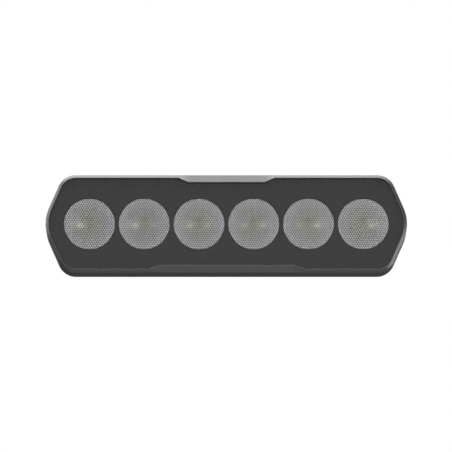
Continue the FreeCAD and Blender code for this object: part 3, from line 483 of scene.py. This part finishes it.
def optic_material(lamp, middle, radius, outwards):
    """Clear fly-eye optic over its reflecting bowl, with the LED's yellow at its heart.

    Light and shade are painted into its colour: a painted highlight round its rim, painted shade over
    the LED's yellow above the middle, and painted reflections of the side lights on both sides, each
    with a painted glint. Each lenslet has a painted highlight on its outer side and painted shade in the
    creases between them. outwards runs from -1 to 1 along the lamp, and the painted reflection on the
    outer side is the stronger one.
    """
    material, tree, shader = new_material(f"fly_eye_{lamp}")
    place = object_place(tree)

    def patch(shape, side=1):
        """A soft patch of the front, on its other half where side is -1."""
        x, z, reach_x, reach_z = shape
        centre = (middle.x + side * x * radius, middle.z + z * radius)
        return spot(tree, place, centre, (reach_x * radius, reach_z * radius))

    def mark(name):
        """A value that the mesh carries."""
        return add_node(tree, "ShaderNodeAttribute", attribute_name=name).outputs["Fac"]

    # Painted highlight: a lighter, bluish ring round the edge.
    rim = remap(tree, patch(WHOLE_FRONT), 1.0, 0.0, 0.0, RIM_HIGHLIGHT_FADE)
    colour = mix_colours(tree, rim, BOWL_COLOUR, RIM_HIGHLIGHT_COLOUR)
    colour = mix_colours(tree, patch(HEART), colour, HEART_COLOUR)
    # Painted shade: the LED's yellow darkened above the middle.
    colour = mix_colours(tree, remap(tree, patch(LED), 0.0, LED_SHADE_SHARE), colour, LED_SHADE_COLOUR)
    # Painted reflections of the side lights, each with a painted glint, stronger on the lamp's outer
    # side.
    for side in (-1, 1):
        strength = SIDE_LIGHT_LOBE_SHARE + SIDE_LIGHT_LOBE_LEAN * side * outwards
        side_light_lobe = remap(tree, patch(SIDE_LIGHT_LOBE, side), 0.0, strength)
        colour = mix_colours(tree, side_light_lobe, colour, SIDE_LIGHT_LOBE_COLOUR)
        glint = remap(tree, patch(GLINT, side), 0.0, strength)
        colour = mix_colours(tree, glint, colour, GLINT_COLOUR)
    # Painted highlight on each lenslet's outer side.
    gleam = remap(tree, mark("crescent"), 0.0, GLEAM_SHARE, *GLEAM_SPAN)
    colour = mix_colours(tree, gleam, colour, GLEAM_COLOUR)
    # Painted shade in the creases between lenslets.
    crease_shade = remap(tree, mark("valley"), 0.0, 1.0, *CREASE_SHADE_SPAN)
    colour = mix_colours(tree, crease_shade, colour, CREASE_SHADE_COLOUR)
    tree.links.new(colour, shader.inputs["Base Color"])
    gloss = uneven(tree, scale=900.0, low=0.32, high=0.40)
    tree.links.new(gloss, shader.inputs["Roughness"])
    shader.inputs["Coat Weight"].default_value = 0.1
    shader.inputs["Coat Roughness"].default_value = 0.2
    return material


def hexagon(centre, reach):
    """The six corners of a lenslet's cell, drawn in to a reach from its centre."""
    corners = []
    for step in range(6):
        angle = math.radians(60 * step + 30)
        corners.append(centre + Vector((math.cos(angle), 0.0, math.sin(angle))) * reach)
    return corners


def lattice(radius):
    """Cell centres of a lenslet lattice that covers a disc."""
    row_step = LENSLET_PITCH * math.sqrt(3) / 2
    spare = 2
    rows = int(radius / row_step) + spare
    columns = int(radius / LENSLET_PITCH) + spare
    for row in range(-rows, rows + 1):
        shift = LENSLET_PITCH / 2 if row % 2 else 0.0
        for column in range(-columns, columns + 1):
            centre = Vector((column * LENSLET_PITCH + shift, 0.0, row * row_step))
            if centre.length < radius + CELL_REACH:
                yield centre


def add_lenslets(mesh, radius):
    """Domed six-sided lenslets over a disc, marked with how deep and how far out each point lies."""
    valley = mesh.loops.layers.float.new("valley")
    crescent = mesh.loops.layers.float.new("crescent")
    shared_corners = {}

    def vertex(place, share):
        """A point of a dome, sunk by its sag; share is 0 at the dome's top and 1 at its corners."""
        sag = LENSLET_RADIUS - math.sqrt(LENSLET_RADIUS**2 - (share * CELL_REACH) ** 2)
        return mesh.verts.new((place.x, sag, place.z))

    def corner(place):
        """A cell corner, shared by the cells that meet there."""
        key = (round(place.x / SAME_PLACE), round(place.z / SAME_PLACE))
        if key not in shared_corners:
            shared_corners[key] = vertex(place, 1.0)
        return shared_corners[key]

    def add_face(centre, points):
        """A face of the cell with this centre."""
        face = mesh.faces.new(points)
        face.smooth = True
        outwards = centre.normalized()
        for loop in face.loops:
            offset = (loop.vert.co - centre) / CELL_REACH
            offset.y = 0.0
            loop[valley] = offset.length_squared
            loop[crescent] = offset.dot(outwards)

    for centre in lattice(radius):
        rings = [
            [vertex(place, share) for place in hexagon(centre, CELL_REACH * share)]
            for share in DOME_RINGS
        ]
        rings.append([corner(place) for place in hexagon(centre, CELL_REACH)])
        top = vertex(centre, 0.0)
        for step in range(6):
            after = (step + 1) % 6
            add_face(centre, (top, rings[0][after], rings[0][step]))
            for inner, outer in zip(rings, rings[1:]):
                add_face(centre, (inner[step], inner[after], outer[after], outer[step]))


def trim_to_disc(mesh, radius):
    """Cut away what lies outside a many-sided disc."""
    for step in range(DISC_SIDES):
        angle = 2 * math.pi * step / DISC_SIDES
        outwards = Vector((math.cos(angle), 0.0, math.sin(angle)))
        bmesh.ops.bisect_plane(
            mesh,
            geom=[*mesh.verts, *mesh.edges, *mesh.faces],
            dist=SAME_PLACE,
            plane_co=outwards * radius,
            plane_no=outwards,
            clear_outer=True,
        )
    bmesh.ops.dissolve_degenerate(mesh, dist=SAME_PLACE, edges=mesh.edges)


def add_bowl(mesh, depth, radius):
    """Close the optic behind its lenslets: rim, flange, bowl and flat end.

    Its profile is a list of ring radii, each with how far the ring is set back from the front.
    """
    profile = [
        (radius, RIM_BACK),
        (radius, FLANGE_BACK),
        (radius - FLANGE_BACK, FLANGE_BACK),
        (0.87 * radius, 0.3 * depth),
        (0.72 * radius, 0.6 * depth),
        (0.50 * radius, 0.86 * depth),
        (0.32 * radius, depth),
    ]
    edge = [line for line in mesh.edges if line.is_boundary]
    for ring_radius, setback in profile:
        grown = bmesh.ops.extrude_edge_only(mesh, edges=edge)["geom"]
        edge = [line for line in grown if isinstance(line, bmesh.types.BMEdge) and line.is_boundary]
        for face in {face for line in edge for face in line.link_faces}:
            face.smooth = False
        for vertex in {vertex for line in edge for vertex in line.verts}:
            outwards = Vector((vertex.co.x, 0.0, vertex.co.z)).normalized()
            vertex.co = outwards * ring_radius + Vector((0.0, setback, 0.0))
    bmesh.ops.edgeloop_fill(mesh, edges=edge)
    bmesh.ops.recalc_face_normals(mesh, faces=mesh.faces)


def optic_shape(depth, radius):
    """The closed mesh that all the optics share, with the middle of its front at the origin."""
    mesh = bmesh.new()
    add_lenslets(mesh, radius - RIM_WIDTH)
    trim_to_disc(mesh, radius - RIM_WIDTH)
    add_bowl(mesh, depth, radius)
    data = bpy.data.meshes.new("fly_eye_optic")
    mesh.to_mesh(data)
    mesh.free()
    return data


def make_optic(lamp, shape, outwards):
    """One optic in place of its CAD node, with its own material."""
    low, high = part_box(f"optic_{lamp}")
    middle = (low + high) / 2
    radius = (high.x - low.x) / 2
    name = f"fly_eye_optic_{lamp}"
    data = shape.copy()
    data.name = name
    data.transform(Matrix.Translation((middle.x, low.y, middle.z)))
    data.materials.append(optic_material(lamp, middle, radius, outwards))
    optic = add_object(name, data)
    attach(optic, "lamp")
    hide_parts(f"optic_{lamp}")


first_low, first_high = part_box("optic_1")
shape = optic_shape(depth=first_high.y - first_low.y, radius=(first_high.x - first_low.x) / 2)
middle_lamp = (LAMPS[0] + LAMPS[-1]) / 2
for lamp in LAMPS:
    make_optic(lamp, shape, outwards=(lamp - middle_lamp) / (LAMPS[-1] - middle_lamp))


# ---------------------------------------------------------------- studio

FACE_MIDDLE = Vector((0.0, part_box("front_cover")[0].y, 0.0))
LAMP_SHARE_OF_WIDTH = 0.80
LAMP_OFF_CENTRE = Vector((0.25 * MM, 0.0, 1.97 * MM))   # from the middle of the view
SENSOR_WIDTH = 36.0         # of the camera, in mm


def studio_floor(drop, radius, fade):
    """Plain pale floor below the lamp, fading into the white surround; seen from above only.

    It looks a little paler than its light makes it, without lighting the lamp from below.
    """
    mesh = bmesh.new()
    bmesh.ops.create_circle(mesh, cap_ends=True, segments=96, radius=radius)
    bmesh.ops.translate(mesh, verts=mesh.verts, vec=(0.0, 0.0, -drop))
    data = bpy.data.meshes.new("studio_floor")
    mesh.to_mesh(data)
    mesh.free()
    floor = add_object("studio_floor", data)

    material, tree, shader = new_material("pale_floor")
    patches = noise(tree, scale=3.0)
    tint = mix_colours(tree, patches, dark=(0.84, 0.84, 0.84), light=(0.9, 0.9, 0.9))
    tree.links.new(tint, shader.inputs["Base Color"])
    shader.inputs["Roughness"].default_value = 0.8
    shader.inputs["Emission Color"].default_value = WHITE
    seen = add_node(tree, "ShaderNodeLightPath").outputs["Is Camera Ray"]
    lift = remap(tree, seen, low=0.0, high=0.22)
    tree.links.new(lift, shader.inputs["Emission Strength"])
    from_middle = add_node(tree, "ShaderNodeVectorMath", operation="LENGTH")
    tree.links.new(object_place(tree), from_middle.inputs[0])
    faded = remap(tree, from_middle.outputs["Value"], 0.0, 1.0, radius - fade, radius)
    from_below = add_node(tree, "ShaderNodeNewGeometry").outputs["Backfacing"]
    clear = add_node(tree, "ShaderNodeBsdfTransparent")
    show_blend(tree, larger(tree, faded, from_below), shader, clear)
    data.materials.append(material)


def softbox(name, azimuth, elevation, distance, width, height, radiance):
    """A rectangular softbox aimed at the lamp's face; azimuth 0 is in front of it, 90 on its +X side."""
    turn = math.radians(azimuth)
    lift = math.radians(elevation)
    away = Vector((math.sin(turn) * math.cos(lift), -math.cos(turn) * math.cos(lift), math.sin(lift)))
    data = bpy.data.lights.new(name, "AREA")
    data.shape = "RECTANGLE"
    data.size = width
    data.size_y = height
    data.energy = radiance * math.pi * width * height
    light = add_object(name, data)
    light.visible_camera = False
    light.location = FACE_MIDDLE + away * distance
    light.rotation_euler = away.to_track_quat("Z", "Y").to_euler()


def white_surround(front, back, fade):
    """White where it is seen directly; as light, brighter in front of the lamp than behind it.

    fade is from where to where it goes from front to back, as the Y of a direction.
    """
    world = bpy.data.worlds.new("studio")
    bpy.context.scene.world = world
    world.use_nodes = True
    tree = world.node_tree
    background = tree.nodes["Background"]
    background.inputs["Color"].default_value = WHITE
    direction = add_node(tree, "ShaderNodeSeparateXYZ")
    tree.links.new(add_node(tree, "ShaderNodeTexCoord").outputs["Generated"], direction.inputs[0])
    level = remap(tree, direction.outputs["Y"], front, back, *fade)
    seen = add_node(tree, "ShaderNodeLightPath").outputs["Is Camera Ray"]
    tree.links.new(larger(tree, level, seen), background.inputs["Strength"])


def add_camera(target, distance, elevation, width_in_view):
    """A long lens in front of the lamp, a little below its axis."""
    data = bpy.data.cameras.new("camera")
    data.sensor_width = SENSOR_WIDTH
    data.lens = SENSOR_WIDTH * distance / width_in_view
    data.clip_start = 0.05
    data.clip_end = 50.0
    camera = add_object("camera", data)
    angle = math.radians(elevation)
    back = Vector((0.0, -math.cos(angle), math.sin(angle)))
    camera.location = target + back * distance
    camera.rotation_euler = (-back).to_track_quat("-Z", "Y").to_euler()
    bpy.context.scene.camera = camera


view_width = (CAD_BOX[1].x - CAD_BOX[0].x) / LAMP_SHARE_OF_WIDTH
view_middle = FACE_MIDDLE - LAMP_OFF_CENTRE

bpy.context.scene.view_settings.view_transform = "Standard"
studio_floor(drop=1.6, radius=3.2, fade=1.6)
white_surround(front=0.88, back=0.06, fade=(-0.95, 0.1))
softbox("top_softbox", azimuth=-12, elevation=84, distance=0.5, width=1.2, height=0.55, radiance=4.42)
softbox("low_softbox", azimuth=30, elevation=-55, distance=1.0, width=0.9, height=0.35, radiance=0.45)
softbox("left_softbox", azimuth=-110, elevation=12, distance=1.1, width=0.5, height=0.8, radiance=2.8)
softbox("right_softbox", azimuth=110, elevation=-20, distance=1.1, width=0.5, height=0.8, radiance=3.7)
softbox("back_softbox", azimuth=180, elevation=50, distance=1.4, width=1.2, height=0.6, radiance=2.0)
add_camera(view_middle, distance=8.0, elevation=-6.2, width_in_view=view_width)
